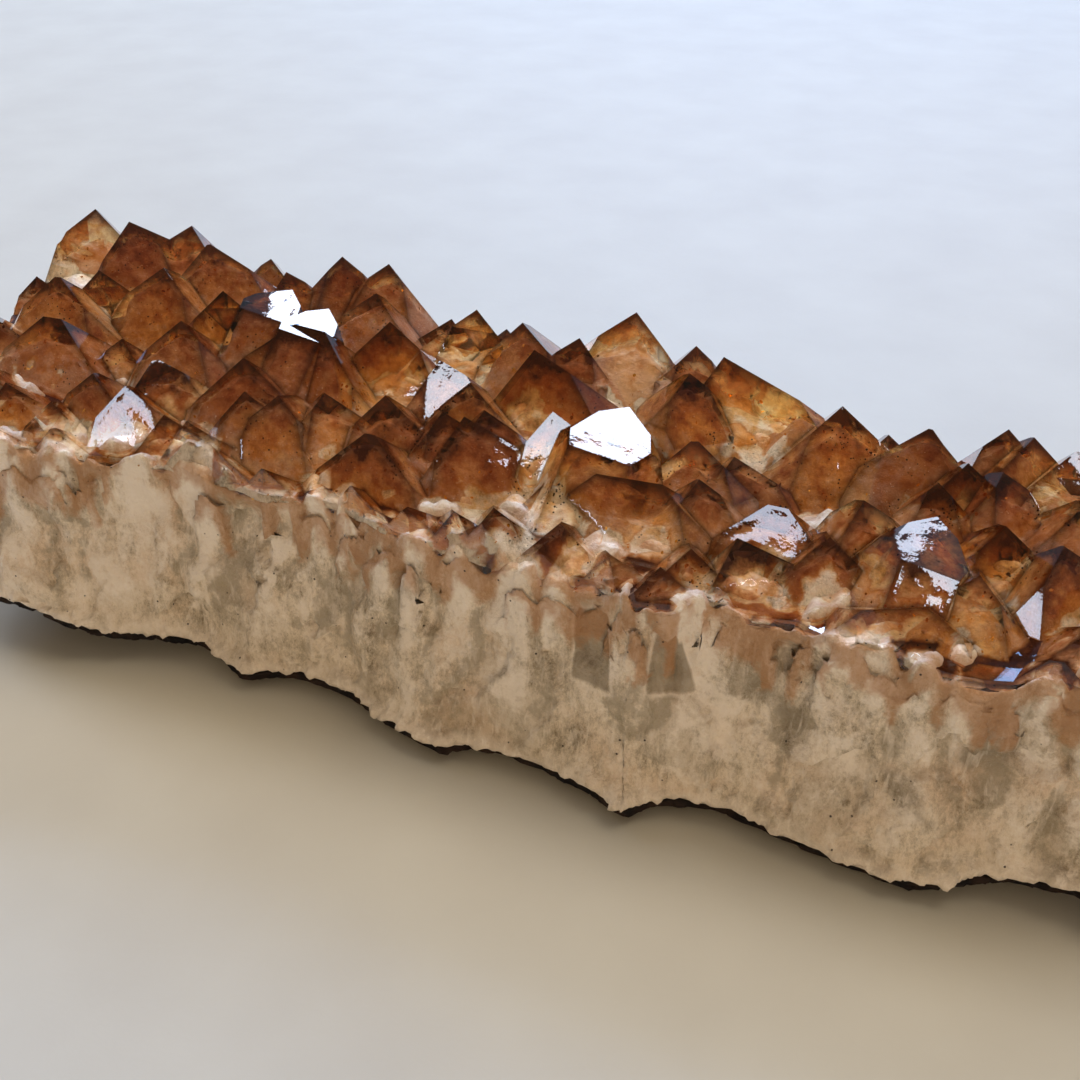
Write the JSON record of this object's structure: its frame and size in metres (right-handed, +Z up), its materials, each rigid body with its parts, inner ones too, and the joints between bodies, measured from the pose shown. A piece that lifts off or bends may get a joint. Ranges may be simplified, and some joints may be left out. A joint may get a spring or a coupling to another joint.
{
  "type": "citrine cluster",
  "caption": "Slab of grown-together amber quartz points on a band of pale massive quartz with a thin dark rock rind, resting on its curved back.",
  "frame": {"origin": "under the middle of the slab's box, on the surface that it rests on", "axes": "+X along the slab, -Y towards the broken face that leans out at its foot, +Z up, the way the points grow"},
  "size_m": [0.178, 0.062, 0.0403],
  "materials": {
    "citrine": "clear to cloudy amber quartz with flat glossy crystal faces",
    "milky_quartz": "pale cloudy quartz, freshly broken, columnar and softly glossy",
    "basalt": "rough matt dark volcanic rock"
  },
  "bodies": {
    "root": {"citrine_crystals": "citrine", "quartz_band": "milky_quartz", "basalt_rind": "basalt"}
  },
  "joints": []
}
